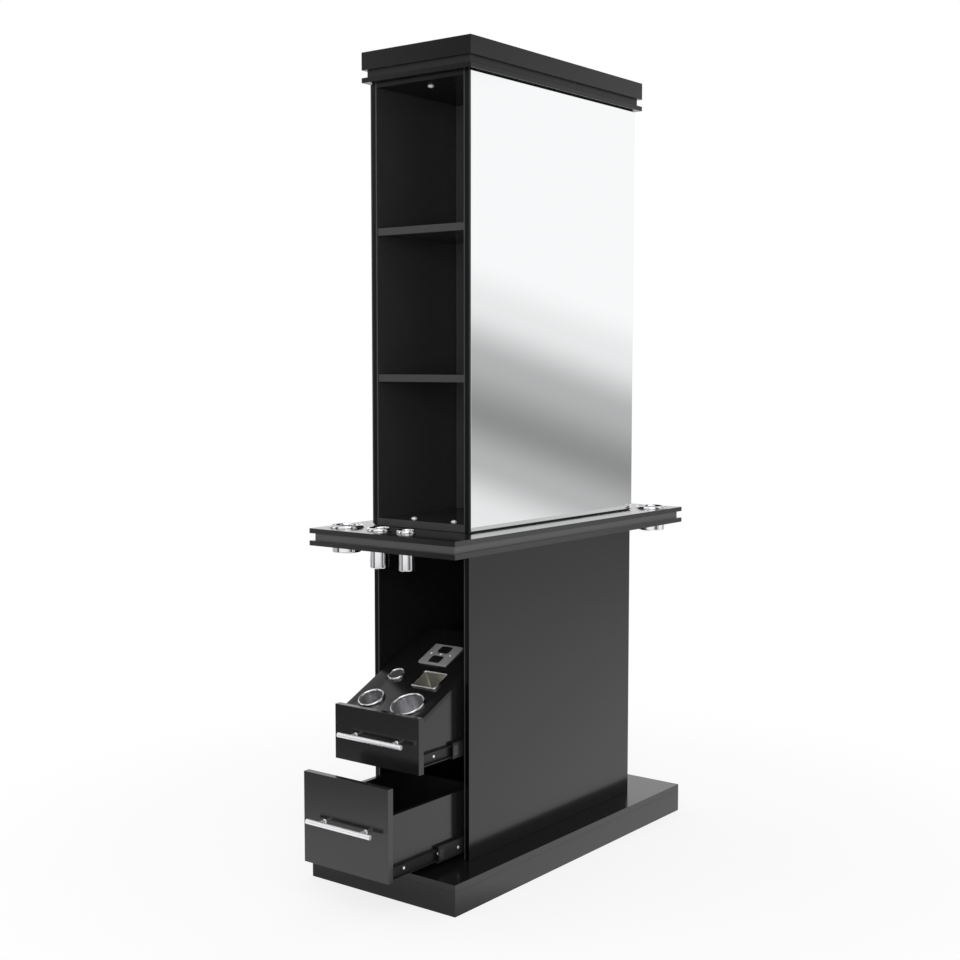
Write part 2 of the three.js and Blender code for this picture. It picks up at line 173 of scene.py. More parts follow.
# Fine orange peel, faint wiping marks and specks of dust, shared by laminate and plastic.
skinMarks = {
    "peelDetail": 2.0, "wipeTurn": (0.5, 0.35, 0.6), "wipeStretch": (1.0, 1.0, 4.0),
    "wipeDetail": 6.0, "wipeRoughness": 0.65,
    "dustScale": 160.0, "speck": (0.03, 0.09), "dusty": (0.48, 0.72), "dust": gray(0.6),
}


def makeSkinGroup():
    tree, given, result = newGroup(
        "boardSkin",
        [("Color", "NodeSocketColor", gray(0.006)), ("Roughness", "NodeSocketFloat", 0.14),
         ("Peel Scale", "NodeSocketFloat", 900.0), ("Wipe Scale", "NodeSocketFloat", 5.0),
         ("Wipe Amount", "NodeSocketFloat", 0.05), ("Dust Amount", "NodeSocketFloat", 0.012)],
        [("Color", "NodeSocketColor"), ("Roughness", "NodeSocketFloat"), ("Height", "NodeSocketFloat")])
    place = newNode(tree, "ShaderNodeTexCoord", (-900, -300)).outputs["Object"]
    peel = newNode(tree, "ShaderNodeTexNoise", (-600, 200))
    wire(tree, place, peel.inputs["Vector"])
    wire(tree, given["Peel Scale"], peel.inputs["Scale"])
    peel.inputs["Detail"].default_value = skinMarks["peelDetail"]
    stretch = newNode(tree, "ShaderNodeMapping", (-760, -120))
    stretch.inputs["Rotation"].default_value = skinMarks["wipeTurn"]
    stretch.inputs["Scale"].default_value = skinMarks["wipeStretch"]
    wire(tree, place, stretch.inputs["Vector"])
    wipe = newNode(tree, "ShaderNodeTexNoise", (-600, -120))
    wire(tree, stretch.outputs["Vector"], wipe.inputs["Vector"])
    wire(tree, given["Wipe Scale"], wipe.inputs["Scale"])
    wipe.inputs["Detail"].default_value = skinMarks["wipeDetail"]
    wipe.inputs["Roughness"].default_value = skinMarks["wipeRoughness"]
    dust = newNode(tree, "ShaderNodeTexVoronoi", (-600, -420))
    wire(tree, place, dust.inputs["Vector"])
    dust.inputs["Scale"].default_value = skinMarks["dustScale"]
    distance = dust.outputs["Distance"]
    speck = rangeNode(tree, (-400, -420), distance, skinMarks["speck"], (1.0, 0.0), smooth=True)
    patch = rangeNode(tree, (-400, -200), wipe.outputs["Fac"], skinMarks["dusty"], smooth=True)
    dusty = mathNode(tree, "MULTIPLY", (-200, -360), speck, patch)
    dustShare = mathNode(tree, "MULTIPLY", (-40, -360), dusty, given["Dust Amount"])
    wire(tree, mixColors(tree, (140, -260), dustShare, given["Color"], skinMarks["dust"]), result["Color"])
    centred = mathNode(tree, "SUBTRACT", (-200, -60), wipe.outputs["Fac"], 0.5)
    swing = mathNode(tree, "MULTIPLY", (-40, -60), centred, given["Wipe Amount"])
    wire(tree, mathNode(tree, "ADD", (140, -60), swing, given["Roughness"]), result["Roughness"])
    wire(tree, peel.outputs["Fac"], result["Height"])
    return tree


# Masks by place: a band of heights, the ends of a board, and what lies beyond or within a distance from
# the middle. A face counts as an end where its normal lies mostly along Y.
endFacing = 0.7


def makePlaceGroup():
    tree, given, result = newGroup(
        "placeMasks",
        [("Low Z", "NodeSocketFloat", 0.0), ("High Z", "NodeSocketFloat", 0.0),
         ("Side X", "NodeSocketFloat", 0.0)],
        [("Band", "NodeSocketFloat"), ("End", "NodeSocketFloat"), ("Beyond", "NodeSocketFloat"),
         ("Within", "NodeSocketFloat")])
    coords = newNode(tree, "ShaderNodeTexCoord", (-900, -300))
    place = newNode(tree, "ShaderNodeSeparateXYZ", (-700, -200))
    wire(tree, coords.outputs["Object"], place.inputs[0])
    facing = newNode(tree, "ShaderNodeSeparateXYZ", (-700, -400))
    wire(tree, coords.outputs["Normal"], facing.inputs[0])
    above = mathNode(tree, "GREATER_THAN", (-400, 100), place.outputs["Z"], given["Low Z"])
    below = mathNode(tree, "LESS_THAN", (-400, -60), place.outputs["Z"], given["High Z"])
    wire(tree, mathNode(tree, "MULTIPLY", (-200, 40), above, below), result["Band"])
    endward = mathNode(tree, "ABSOLUTE", (-400, -400), facing.outputs["Y"])
    wire(tree, mathNode(tree, "GREATER_THAN", (-200, -400), endward, endFacing), result["End"])
    outward = mathNode(tree, "ABSOLUTE", (-400, -240), place.outputs["X"])
    wire(tree, mathNode(tree, "GREATER_THAN", (-200, -200), outward, given["Side X"]), result["Beyond"])
    wire(tree, mathNode(tree, "LESS_THAN", (-200, -280), outward, given["Side X"]), result["Within"])
    return tree


# Drawn metal: long fine scratches along one axis, with a soft unevenness of the shine.
drawnMarks = {"scratchScale": 1500.0, "scratchDetail": 3.0, "cloudScale": 40.0, "scratch": gray(0.05)}


def makeDrawnGroup():
    tree, given, result = newGroup(
        "drawnMetal",
        [("Color", "NodeSocketColor", gray(0.7)), ("Roughness", "NodeSocketFloat", 0.2),
         ("Along", "NodeSocketVector", (1.0, 1.0, 1.0)), ("Grain", "NodeSocketFloat", 0.1)],
        [("Color", "NodeSocketColor"), ("Roughness", "NodeSocketFloat"), ("Height", "NodeSocketFloat")])
    place = newNode(tree, "ShaderNodeTexCoord", (-900, -300)).outputs["Object"]
    squeezed = vectorNode(tree, "MULTIPLY", (-700, -200), place, given["Along"])
    scratches = newNode(tree, "ShaderNodeTexNoise", (-500, -100))
    wire(tree, squeezed, scratches.inputs["Vector"])
    scratches.inputs["Scale"].default_value = drawnMarks["scratchScale"]
    scratches.inputs["Detail"].default_value = drawnMarks["scratchDetail"]
    cloud = newNode(tree, "ShaderNodeTexNoise", (-500, -360))
    wire(tree, place, cloud.inputs["Vector"])
    cloud.inputs["Scale"].default_value = drawnMarks["cloudScale"]
    fine = mathNode(tree, "SUBTRACT", (-300, -100), scratches.outputs["Fac"], 0.5)
    soft = mathNode(tree, "SUBTRACT", (-300, -360), cloud.outputs["Fac"], 0.5)
    both = mathNode(tree, "ADD", (-140, -200), fine, soft)
    swing = mathNode(tree, "MULTIPLY", (20, -200), both, given["Grain"])
    wire(tree, mathNode(tree, "ADD", (180, -100), swing, given["Roughness"]), result["Roughness"])
    shade = mathNode(tree, "MULTIPLY", (20, -360), fine, given["Grain"])
    darker = mathNode(tree, "ABSOLUTE", (180, -360), shade)
    color = mixColors(tree, (360, -260), darker, given["Color"], drawnMarks["scratch"])
    wire(tree, color, result["Color"])
    wire(tree, scratches.outputs["Fac"], result["Height"])
    return tree


boardSkin = makeSkinGroup()
placeMasks = makePlaceGroup()
drawnMetal = makeDrawnGroup()


def newMaterial(name):
    material = bpy.data.materials.new(name)
    material.use_nodes = True
    tree = material.node_tree
    return material, tree, tree.nodes["Principled BSDF"]


bumpDepth = 0.0002


def addBump(tree, shader, height, strength):
    bump = newNode(tree, "ShaderNodeBump", (-220, -420))
    bump.inputs["Strength"].default_value = strength
    bump.inputs["Distance"].default_value = bumpDepth
    wire(tree, height, bump.inputs["Height"])
    wire(tree, bump.outputs["Normal"], shader.inputs["Normal"])


# Black laminate on board. A board's ends have a dark rim and a paler strip that is a painted highlight: on
# the side panels it runs along the inner arris, on the shelves and bottom board it covers the whole front
# edge. The grooves are a little duller and painted paler, a painted sheen in the groove, and the slide
# channels that are part of a panel or a drawer box are blackened steel.
laminate = {
    "board": gray(0.007), "shine": 0.18, "ior": 1.52, "peel": 0.02,
    "coat": 0.0, "coatShine": 0.05, "coatIor": 1.3,
    "rim": gray(0.028), "rimShine": 0.30, "rimMetal": 1.0,
    # a paler tone painted on board ends as the highlight of the inner arris
    "paintedHighlight": gray(0.030), "paintedHighlightShine": 0.34, "paintedHighlightMetal": 0.0,
    # the groove colour is a painted sheen, paler than the board
    "groove": gray(0.06), "grooveShine": 0.34,
    "steel": gray(0.008), "steelShine": 0.42, "steelMetal": 0.3,
}


def makeLaminate(name, paintedHighlightWithin=None, grooveBand=None, steelBeyond=None, steelWithin=None, **changed):
    look = laminate | changed
    material, tree, shader = newMaterial(name)
    skin = useGroup(tree, boardSkin, (-1000, 100), Color=look["board"], Roughness=look["shine"])
    color, rough = skin.outputs["Color"], skin.outputs["Roughness"]
    layers = []
    if paintedHighlightWithin:
        masks = useGroup(tree, placeMasks, (-1000, -300), Side_X=paintedHighlightWithin)
        both = mathNode(tree, "MULTIPLY", (-800, -300), masks.outputs["End"], masks.outputs["Within"])
        layers += [("rim", masks.outputs["End"]), ("paintedHighlight", both)]
    if grooveBand:
        masks = useGroup(tree, placeMasks, (-1000, -500), Low_Z=grooveBand[0], High_Z=grooveBand[1])
        layers.append(("groove", masks.outputs["Band"]))
    if steelBeyond or steelWithin:
        masks = useGroup(tree, placeMasks, (-1000, -700), Side_X=steelBeyond or steelWithin)
        layers.append(("steel", masks.outputs["Beyond" if steelBeyond else "Within"]))
    metal = 0.0
    for step, (layer, mask) in enumerate(layers):
        color = mixColors(tree, (-600 + 160 * step, 200), mask, color, look[layer])
        rough = mixValues(tree, (-600 + 160 * step, 0), mask, rough, look[layer + "Shine"])
        if not grooveBand:
            metal = mixValues(tree, (-600 + 160 * step, -160), mask, metal, look[layer + "Metal"])
    feed(tree, shader.inputs["Metallic"], metal)
    wire(tree, color, shader.inputs["Base Color"])
    wire(tree, rough, shader.inputs["Roughness"])
    shader.inputs["IOR"].default_value = look["ior"]
    shader.inputs["Coat Weight"].default_value = look["coat"]
    shader.inputs["Coat Roughness"].default_value = look["coatShine"]
    shader.inputs["Coat IOR"].default_value = look["coatIor"]
    addBump(tree, shader, skin.outputs["Height"], look["peel"])
    return material


# Silvered glass: the two large faces are mirror, the ground edges are dull glass.
mirrorGlass = {
    "silver": (0.930, 0.942, 0.948, 1.0), "silverShine": 0.0,
    "edge": (0.022, 0.027, 0.026, 1.0), "edgeShine": 0.35, "facing": 0.9,
}


def makeMirror():
    material, tree, shader = newMaterial("silveredGlass")
    coords = newNode(tree, "ShaderNodeTexCoord", (-900, 0))
    facing = newNode(tree, "ShaderNodeSeparateXYZ", (-720, 0))
    wire(tree, coords.outputs["Normal"], facing.inputs[0])
    outward = mathNode(tree, "ABSOLUTE", (-560, 0), facing.outputs["X"])
    face = mathNode(tree, "GREATER_THAN", (-400, 0), outward, mirrorGlass["facing"])
    color = mixColors(tree, (-220, 160), face, mirrorGlass["edge"], mirrorGlass["silver"])
    wire(tree, color, shader.inputs["Base Color"])
    rough = mixValues(tree, (-220, -200), face, mirrorGlass["edgeShine"], mirrorGlass["silverShine"])
    wire(tree, rough, shader.inputs["Roughness"])
    wire(tree, face, shader.inputs["Metallic"])
    return material


# Metals, as they differ from the plain one. Scratches run along the axis that is squeezed most.
plainMetal = {"along": (1.0, 1.0, 1.0), "grain": 0.06, "metallic": 1.0, "bump": 0.03}
metalLooks = {
    "brushedPlate": {
        "color": gray(0.37), "shine": 0.36, "along": (0.03, 1.0, 1.0), "grain": 0.2, "metallic": 0.35},
    "polishedChrome": {"color": gray(0.88), "shine": 0.07, "grain": 0.05, "bump": 0.004},
    "spunSteel": {"color": gray(0.76), "shine": 0.15, "grain": 0.08, "metallic": 0.92, "bump": 0.006},
    "pressedSteel": {"color": (0.80, 0.79, 0.73, 1.0), "shine": 0.13, "grain": 0.08, "metallic": 0.94},
    "satinBarSteel": {
        "color": gray(0.93), "shine": 0.28, "along": (0.02, 1.0, 1.0), "grain": 0.12, "metallic": 0.7},
    "blackSlideSteel": {
        "color": gray(0.008), "shine": 0.42, "along": (1.0, 0.03, 1.0), "grain": 0.14, "metallic": 0.3},
    "brightScrew": {"color": gray(0.92), "shine": 0.2, "metallic": 0.5},
    "clipSteel": {"color": gray(0.05), "shine": 0.34, "grain": 0.2, "metallic": 0.6},
}


def makeDrawn(name):
    look = plainMetal | metalLooks[name]
    material, tree, shader = newMaterial(name)
    drawn = useGroup(tree, drawnMetal, (-620, 0), Color=look["color"], Roughness=look["shine"],
                     Along=look["along"], Grain=look["grain"])
    wire(tree, drawn.outputs["Color"], shader.inputs["Base Color"])
    wire(tree, drawn.outputs["Roughness"], shader.inputs["Roughness"])
    shader.inputs["Metallic"].default_value = look["metallic"]
    addBump(tree, shader, drawn.outputs["Height"], look["bump"])
    return material


# Moulded plastic of the outlets, and the painted shade in their contact slots.
moulding = {"peelScale": 2600.0, "bump": 0.12}
mouldingLooks = {
    "blackMoulding": {"color": gray(0.008), "shine": 0.38},
    "slotShade": {"color": gray(0.0012), "shine": 0.7},
}


def makeMoulding(name):
    look = moulding | mouldingLooks[name]
    material, tree, shader = newMaterial(name)
    skin = useGroup(tree, boardSkin, (-620, 0), Color=look["color"], Roughness=look["shine"],
                    Peel_Scale=look["peelScale"])
    wire(tree, skin.outputs["Color"], shader.inputs["Base Color"])
    wire(tree, skin.outputs["Roughness"], shader.inputs["Roughness"])
    addBump(tree, shader, skin.outputs["Height"], look["bump"])
    return material


# Mesh helpers: surfaces are grids of points, worked out as whole arrays.
def gridFaces(rows, columns, wrapped):
    # each cell of the grid is a four sided face, and a wrapped grid also joins its last column to its first
    across = columns if wrapped else columns - 1
    row, column = np.meshgrid(np.arange(rows - 1), np.arange(across), indexing="ij")
    here = row * columns + column
    beside = row * columns + (column + 1) % columns
    return np.stack([here, beside, beside + columns, here + columns], -1).reshape(-1, 4)


def revolve(profile, steps):
    # each (radius, height) of the profile is carried once round the local Z axis
    profile = np.asarray(profile, float)
    turn = np.linspace(0, 2 * math.pi, steps, endpoint=False)
    ring = np.stack([np.cos(turn), np.sin(turn), np.zeros(steps)], -1)
    return profile[:, None, :1] * ring + profile[:, None, 1:] * np.array([0.0, 0.0, 1.0])


def roundedFrames(rows, perCorner=12):
    # each row is a rectangle of two half widths at a height, its corners quarter circles of one radius
    rows = np.asarray(rows, float)
    turn = np.radians(np.linspace(0, 90, perCorner))
    angle = (turn + np.arange(4)[:, None] * math.pi / 2).ravel()
    signs = np.repeat(np.array([[1, 1], [-1, 1], [-1, -1], [1, -1]], float), perCorner, axis=0)
    halfX, halfY, corner, height = (rows[:, k, None] for k in range(4))
    x = signs[:, 0] * (halfX - corner) + corner * np.cos(angle)
    y = signs[:, 1] * (halfY - corner) + corner * np.sin(angle)
    return np.stack([x, y, np.broadcast_to(height, x.shape)], -1)


def arc(center, radii, start, stop, count):
    # points of an ellipse's arc, between two angles in degrees
    turn = np.radians(np.linspace(start, stop, count))
    return np.stack([center[0] + radii[0] * np.cos(turn), center[1] + radii[1] * np.sin(turn)], -1)


def placed(points, origin, axes):
    # local points go to the origin plus their coordinates along the three axes
    return np.asarray(origin, float) + np.asarray(points, float) @ np.asarray(axes, float)


meshJoin = {"doubles": 1e-6, "slivers": 1e-7}


def makePiece(name, grids, materials, body, replaced=(), wrapped=True, smoothAngle=38.0):
    # each grid takes the material of its own number, and the last one serves all further grids
    starts = np.cumsum([0] + [grid.shape[0] * grid.shape[1] for grid in grids])
    points = np.concatenate([grid.reshape(-1, 3) for grid in grids])
    faces = [gridFaces(*grid.shape[:2], wrapped) + start for grid, start in zip(grids, starts)]
    paint = np.repeat(np.minimum(np.arange(len(grids)), len(materials) - 1), [len(part) for part in faces])
    mesh = bpy.data.meshes.new(name)
    mesh.from_pydata(points.tolist(), [], np.concatenate(faces).tolist())
    mesh.polygons.foreach_set("material_index", paint)
    shell = bmesh.new()
    shell.from_mesh(mesh)
    bmesh.ops.remove_doubles(shell, verts=shell.verts, dist=meshJoin["doubles"])
    bmesh.ops.dissolve_degenerate(shell, edges=shell.edges, dist=meshJoin["slivers"])
    bmesh.ops.recalc_face_normals(shell, faces=shell.faces)
    shell.to_mesh(mesh)
    shell.free()
    mesh.polygons.foreach_set("use_smooth", np.ones(len(mesh.polygons), bool))
    mesh.set_sharp_from_angle(angle=math.radians(smoothAngle))
    for material in materials:
        mesh.materials.append(material)
    piece = bpy.data.objects.new(name, mesh)
    bpy.context.scene.collection.objects.link(piece)
    even = piece.modifiers.new("evenShade", "WEIGHTED_NORMAL")  # large flat faces keep their own normals
    even.keep_sharp = True
    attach(piece, body)
    if replaced:
        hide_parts(*replaced)


# Boards: the solids themselves, with their sharp edges eased.
boardFinish = {
    "ease": 0.0008, "fineEase": 0.0004, "seamEase": 0.00012, "glassEase": 0.0012, "plateEase": 0.0009,
    "outletEase": 0.0006, "segments": 3, "easeAngle": 40, "weld": 1e-5, "flatAngle": 2,
    "paintedHighlightWidth": 0.0035, "skin": 0.0001,
}
# The back boards of the shelf bays are painted much paler than the other laminate: painted light, for the
# light reflected at the back of the bays.
boardLooks = {
    "tower": {"board": gray(0.020)}, "bayBackPaintedLight": {"board": gray(0.045)}, "panel": {"ior": 1.48},
    # the worktop's groove keeps the paler painted sheen, the crown's groove is painted only a little paler
    # than its board
    "worktop": {"board": gray(0.004), "ior": 1.62, "coat": 0.35},
    "crown": {"ior": 1.36, "groove": gray(0.015)}, "topBoard": {"ior": 1.33},
    "deepFascia": {"ior": 1.6}, "toolPanel": {"ior": 1.4},
}
grooves = {"lip": 0.012, "height": 0.018, "clear": 0.0003}


def easeEdges(node, width):
    piece = solids[node]
    weld = piece.modifiers.new("weld", "WELD")
    weld.merge_threshold = boardFinish["weld"]
    flat = piece.modifiers.new("flat", "DECIMATE")
    flat.decimate_type = "DISSOLVE"
    flat.angle_limit = math.radians(boardFinish["flatAngle"])
    ease = piece.modifiers.new("ease", "BEVEL")
    ease.width = width
    ease.segments = boardFinish["segments"]
    ease.limit_method = "ANGLE"
    ease.angle_limit = math.radians(boardFinish["easeAngle"])


def dress(names, material, ease):
    for node in names:
        solids[node].data.materials.clear()
        solids[node].data.materials.append(material)
        easeEdges(node, ease)


def grooveHeights(node):
    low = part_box(node)[0].z + grooves["lip"]
    return low + grooves["clear"], low + grooves["height"] - grooves["clear"]


def eachDrawer(pattern):
    return [pattern.format(end=end, drawer=drawer) for end in ends for drawer in drawers]


def eachEnd(pattern):
    return [pattern.format(end=end) for end in ends]


# the painted highlight on board ends reaches this far from the middle
paintedHighlight = cavityHalf + boardFinish["paintedHighlightWidth"]
ease, fineEase = boardFinish["ease"], boardFinish["fineEase"]
plainBoard = makeLaminate("blackLaminate")
dress(["plinth", "base_deck"], plainBoard, boardFinish["seamEase"])
dress(["lower_divider"] + eachEnd("{end}_deep_drawer_floor"), plainBoard, ease)
dress(eachEnd("{end}_tool_drawer_fascia"), plainBoard, ease)
dress(["upper_top_board"], makeLaminate("topBoard", **boardLooks["topBoard"]), ease)
dress(eachEnd("{end}_deep_drawer_fascia"), makeLaminate("deepFascia", **boardLooks["deepFascia"]), ease)
dress(eachEnd("{end}_tool_panel"), makeLaminate("toolPanel", **boardLooks["toolPanel"]), ease)
# the bays' back boards are painted paler, as painted light at the back of the bays
dress(["upper_divider"], makeLaminate("bayBackPaintedLight", **boardLooks["bayBackPaintedLight"]), ease)
towerBoard = makeLaminate("towerLaminate", paintedHighlightWithin=paintedHighlight, **boardLooks["tower"])
dress(["upper_bottom_board", "upper_panel_right", "upper_panel_left"], towerBoard, ease)
dress(eachEnd("{end}_shelf_1") + eachEnd("{end}_shelf_2"), towerBoard, ease)
for slab in ("worktop", "crown"):
    grooved = makeLaminate(f"{slab}Laminate", grooveBand=grooveHeights(slab), **boardLooks[slab])
    dress([slab], grooved, ease)
boxBoard = makeLaminate("drawerLaminate", steelBeyond=boxHalf + boardFinish["skin"])
dress(eachDrawer("{end}_{drawer}_drawer_box"), boxBoard, fineEase)
inner = cavityHalf - boardFinish["skin"]
panelBoard = makeLaminate("panelLaminate", paintedHighlightWithin=paintedHighlight, steelWithin=inner, **boardLooks["panel"])
dress(["lower_panel_right", "lower_panel_left"], panelBoard, fineEase)
dress(["mirror_right", "mirror_left"], makeMirror(), boardFinish["glassEase"])
dress(eachEnd("{end}_outlet_plate"), makeDrawn("brushedPlate"), boardFinish["plateEase"])
dress(eachEnd("{end}_outlet_receptacle"), makeMoulding("blackMoulding"), boardFinish["outletEase"])
print("boards, mirrors and outlets dressed")

chrome = makeDrawn("polishedChrome")
spunSteel = makeDrawn("spunSteel")
pressedSteel = makeDrawn("pressedSteel")
barSteel = makeDrawn("satinBarSteel")
slideSteel = makeDrawn("blackSlideSteel")
screwSteel = makeDrawn("brightScrew")
clipSteel = makeDrawn("clipSteel")


# The sloped tool panel's own axes: across, up the slope and square to it.
toolPanel = {"slope": math.radians(25), "thickness": 0.009}


def panelFrame(end):
    turn, sine, cosine = ends[end], math.sin(toolPanel["slope"]), math.cos(toolPanel["slope"])
    low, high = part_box(f"{end}_tool_panel")
    front = low.y if turn > 0 else high.y
    origin = np.array([0.0, front, low.z + toolPanel["thickness"] * cosine])
    return origin, np.array([[turn, 0, 0], [0, turn * cosine, sine], [0, -turn * sine, cosine]])


def middleOf(node):
    mesh = solids[node].data
    points = np.empty(len(mesh.vertices) * 3)
    mesh.vertices.foreach_get("co", points)
    return points.reshape(-1, 3).mean(0)


def seatOnPanel(node, end):
    # the foot of the node's middle on the panel's face
    origin, axes = panelFrame(end)
    across, up, _ = axes @ (middleOf(node) - origin)
    return origin + across * axes[0] + up * axes[1], axes


# Chrome cups with a rolled rim: let into the sloped panels and into the worktop.
panelCups = {
    "dryer_cup": {"bore": 0.075, "depth": 0.080},
    "iron_cup": {"bore": 0.0565, "depth": 0.080},
    "small_cup": {"bore": 0.0355, "depth": 0.090},
}
worktopCups = {
    "dryer_holder": {"bore": 0.069, "depth": 0.061},
    "iron_holder": {"bore": 0.043, "depth": 0.092},
    "brush_holder": {"bore": 0.034, "depth": 0.092},
}
cupMetal = {
    "wall": 0.0015, "rim": 0.006, "corner": 0.003, "lip": 0.004,
    "steps": 96, "rimPoints": 19, "cornerPoints": 6, "smoothAngle": 50.0,
}


def cupLines(flange, bore, depth):
    # the outside from the floor up to the rim, the rolled rim, and the inside down to the floor
    wall, corner, points = cupMetal["wall"], cupMetal["corner"], cupMetal["cornerPoints"]
    inner = bore / 2
    outer = inner + wall
    rimMiddle, rimHalf = (flange / 2 + inner) / 2, (flange / 2 - inner) / 2
    foot = arc((outer - corner, corner - depth), (corner, corner), -90, 0, points)
    rim = arc((rimMiddle, seatGap), (rimHalf, cupMetal["rim"]), 0, 180, cupMetal["rimPoints"])
    hollow = arc((inner - corner, wall + corner - depth), (corner, corner), 0, -90, points)
    outside = np.concatenate([[[0, -depth]], foot, [[outer, seatGap]]])
    inside = np.concatenate([rim[-1:], [[inner, -cupMetal["lip"]]], hollow, [[0, wall - depth]]])
    return outside, np.concatenate([outside[-1:], rim]), inside


def addCup(node, size, origin, axes, body):
    low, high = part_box(node)
    lines = cupLines(high.x - low.x, size["bore"], size["depth"])
    grids = [placed(revolve(line, cupMetal["steps"]), origin, axes) for line in lines]
    metals, smooth = [chrome, chrome, spunSteel], cupMetal["smoothAngle"]
    makePiece(f"{node}_turned", grids, metals, body, [node], smoothAngle=smooth)


for end, turn in ends.items():
    for kind, size in panelCups.items():
        origin, axes = seatOnPanel(f"{end}_{kind}", end)
        addCup(f"{end}_{kind}", size, origin, axes, f"{end}_tool_drawer")
    for kind, size in worktopCups.items():
        low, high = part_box(f"{end}_{kind}")
        origin = ((low.x + high.x) / 2, (low.y + high.y) / 2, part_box("worktop")[1].z)
        addCup(f"{end}_{kind}", size, origin, np.diag([turn, turn, 1.0]), "carcass")
print("cups:", 2 * (len(panelCups) + len(worktopCups)))


# Pressed clip bins: a well of sheet metal with a polished rim over its edge.
clipBin = {
    "width": 0.068, "length": 0.055, "depth": 0.055, "corner": 0.003,
    "flange": 0.004, "rim": 0.004, "rimPoints": 13, "bend": 0.0025, "bendPoints": 6,
}


def binRows(line):
    # the bore's rectangle, grown by the line's first coordinate, at the height of its second
    grown, height = line[:, 0], line[:, 1]
    sizes = [clipBin["width"] / 2 + grown, clipBin["length"] / 2 + grown, clipBin["corner"] + grown, height]
    return np.stack(sizes, -1)


def addBin(end):
    node = f"{end}_clip_bin"
    wall, bend, floor, flange = cupMetal["wall"], clipBin["bend"], -clipBin["depth"], clipBin["flange"]
    foot = arc((wall - bend, floor + bend), (bend, bend), -90, 0, clipBin["bendPoints"])
    inside = arc((-bend, floor + wall + bend), (bend, bend), 0, -90, clipBin["bendPoints"])
    edge = [[wall, flange / 2], [0, flange / 2]]
    well = binRows(np.concatenate([foot, edge, inside]))
    well = np.concatenate([[[0, 0, 0, floor]], well, [[0, 0, 0, floor + wall]]])
    rim = arc((flange / 2, seatGap), (flange / 2, clipBin["rim"]), 0, 180, clipBin["rimPoints"])
    rim = binRows(np.concatenate([rim, rim[:1]]))
    origin, axes = seatOnPanel(node, end)
    grids = [placed(roundedFrames(rows), origin, axes) for rows in (rim, well)]
    makePiece(f"{node}_pressed", grids, [chrome, pressedSteel], f"{end}_tool_drawer", [node])


for end in ends:
    addBin(end)


# Bar handles: a round bar with eased ends on two posts with a small collar.
handleShape = {
    "bar": 0.006, "ease": 0.0012, "centres": 0.128, "post": 0.0045, "collar": 0.0058, "collarHeight": 0.002,
    "steps": 40, "tipPoints": 6, "collarPoints": 5,
}


def addHandle(end, drawer):
    node, turn, size = f"{end}_{drawer}_drawer_handle", ends[end], handleShape
    low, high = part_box(node)
    axisY = low.y + size["bar"] if turn > 0 else high.y - size["bar"]
    faceY = high.y if turn > 0 else low.y
    middle, half, ease = (low.z + high.z) / 2, (high.x - low.x) / 2, size["ease"]
    tip = arc((size["bar"] - ease, half - ease), (ease, ease), 90, 0, size["tipPoints"])
    profile = np.concatenate([[[0, half]], tip, tip[::-1] * [1, -1], [[0, -half]]])
    bar = placed(revolve(profile, size["steps"]), (0, axisY, middle), [[0, 0, 1], [0, 1, 0], [1, 0, 0]])
    reach = abs(axisY - faceY)
    shoulder = (size["collar"] - ease, size["collarHeight"] - ease)
    collar = arc(shoulder, (ease, ease), 0, 90, size["collarPoints"])
    stem = [[size["post"], size["collarHeight"]], [size["post"], reach], [0, reach]]
    line = np.concatenate([[[0, 0], [size["collar"], 0]], collar, stem])
    axes = [[1, 0, 0], [0, 0, 1], [0, -turn, 0]]
    feet = [(side * size["centres"] / 2, faceY, middle) for side in (-1, 1)]
    posts = [placed(revolve(line, size["steps"]), foot, axes) for foot in feet]
    makePiece(f"{node}_bar", [bar] + posts, [barSteel], f"{end}_{drawer}_drawer", [node])


for end in ends:
    for drawer in drawers:
        addHandle(end, drawer)
print("bins and handles in place")


# Middle channels of the slides: rolled steel, a rounded C carried along the slide.
slideShape = {"metal": 0.0015, "bend": 0.004, "bendPoints": 7, "race": 0.0028}


def channelLine(depth, half, bend):
    # from the tip of the lower flange round both bends of the web to the tip of the upper flange
    lower = arc((depth - bend, bend - half), (bend, bend), -90, 0, slideShape["bendPoints"])
    return np.concatenate([[[0, -half]], lower, lower[::-1] * [1, -1], [[0, half]]])


def addChannel(end, drawer, side):
    # the outer line runs along the slide, turns in to the inner line and comes back, and the tips are closed
    node, outward, size = f"{end}_{drawer}_drawer_slide_{side}", ends[end] * sides[side], slideShape
    low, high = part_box(node)
    depth, half, middle = high.x - low.x, (high.z - low.z) / 2, (low.z + high.z) / 2
    tipX = low.x if outward > 0 else high.x
    outer = channelLine(depth, half, size["bend"])
    inner = channelLine(depth - size["metal"], half - size["race"], size["bend"] - size["metal"])
    order = [(outer, low.y), (outer, high.y), (inner, high.y), (inner, low.y), (outer, low.y)]
    rows = [np.stack([tipX + outward * line[:, 0], np.full(len(line), y), middle + line[:, 1]], -1)
            for line, y in order]
    rolled = np.stack(rows)
    tips = [rolled[[[0, 1], [3, 2]], k] for k in (0, -1)]
    body = f"{end}_{drawer}_rails"
    makePiece(f"{node}_rolled", [rolled] + tips, [slideSteel], body, [node], wrapped=False)


for end in ends:
    for drawer in drawers:
        for side in sides:
            addChannel(end, drawer, side)


# Screw heads: low domes with a small drive dimple.
screwHead = {
    "steps": 24, "sunk": 0.0004, "domeAngle": 69, "domePoints": 9, "dimpleRadius": 0.12, "dimpleHeight": 0.45,
}


